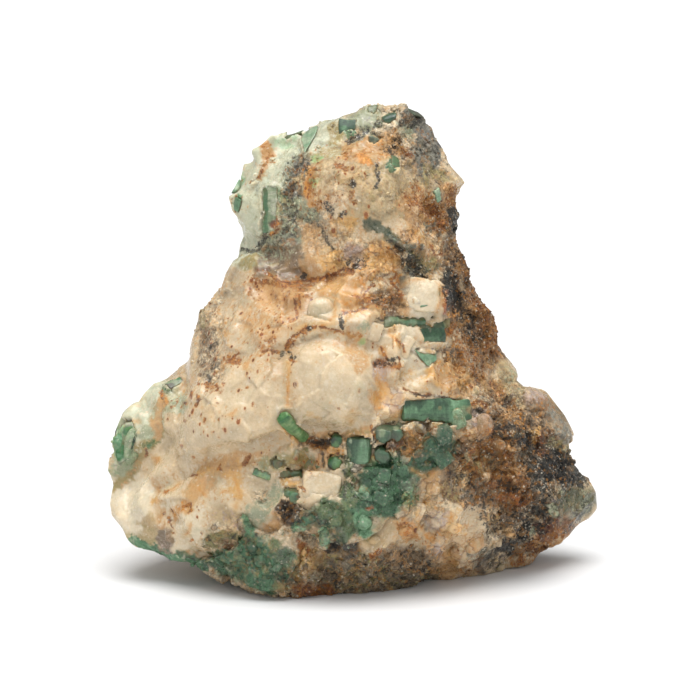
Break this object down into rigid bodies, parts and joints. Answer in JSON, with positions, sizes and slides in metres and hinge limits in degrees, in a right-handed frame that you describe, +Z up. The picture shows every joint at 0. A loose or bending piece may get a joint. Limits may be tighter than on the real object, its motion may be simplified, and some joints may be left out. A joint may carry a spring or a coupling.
{
  "type": "rough emerald specimen",
  "caption": "Rough emerald in matrix: a lump of quartz and mica schist with green beryl crystals and a band of emerald across its foot, standing on its flat underside.",
  "frame": {"origin": "middle of the footprint, on the ground that the specimen stands on", "axes": "+Z up; -Y is the front with the emerald band, as pictured; +X is the right side seen from the front"},
  "size_m": [0.0606, 0.0382, 0.0587],
  "materials": {
    "matrix": "broken milky quartz and mica schist with rust stains, rough with small glints",
    "emerald_deep": "dark green beryl, cloudy, semi-gloss on its crystal faces",
    "emerald_vivid": "vivid green beryl, partly clear, glossy",
    "emerald_light": "light green beryl, cloudy, semi-gloss",
    "emerald_grey": "grey green beryl with a dull coat"
  },
  "bodies": {
    "root": {"matrix_rock": "matrix", "emerald_mass": "emerald_deep", "emerald_long_prism": "emerald_deep", "emerald_stub": "emerald_vivid", "emerald_upper_bar": "emerald_deep", "emerald_upper_block": "emerald_deep", "emerald_upper_chip": "emerald_light", "emerald_twin_ends": "emerald_grey", "emerald_round_end": "emerald_deep", "emerald_light_prism": "emerald_light", "emerald_dark_end": "emerald_deep", "emerald_vivid_end": "emerald_vivid", "emerald_bright_chip": "emerald_vivid", "emerald_grey_pair": "emerald_grey", "emerald_low_pair": "emerald_deep", "emerald_dark_wedge": "emerald_deep", "emerald_shoulder_prism": "emerald_deep", "emerald_crown_hex": "emerald_deep", "emerald_crown_peak": "emerald_light", "emerald_crown_edge": "emerald_light", "emerald_grey_end": "emerald_grey", "emerald_crown_left": "emerald_grey", "emerald_crown_right": "emerald_grey", "emerald_head_chip": "emerald_deep", "emerald_right_chip": "emerald_deep", "emerald_rim_buds": "emerald_vivid", "emerald_rim_chip": "emerald_vivid", "emerald_ear": "emerald_vivid", "emerald_slope_chip": "emerald_light", "emerald_left_patch": "emerald_light"}
  },
  "joints": []
}
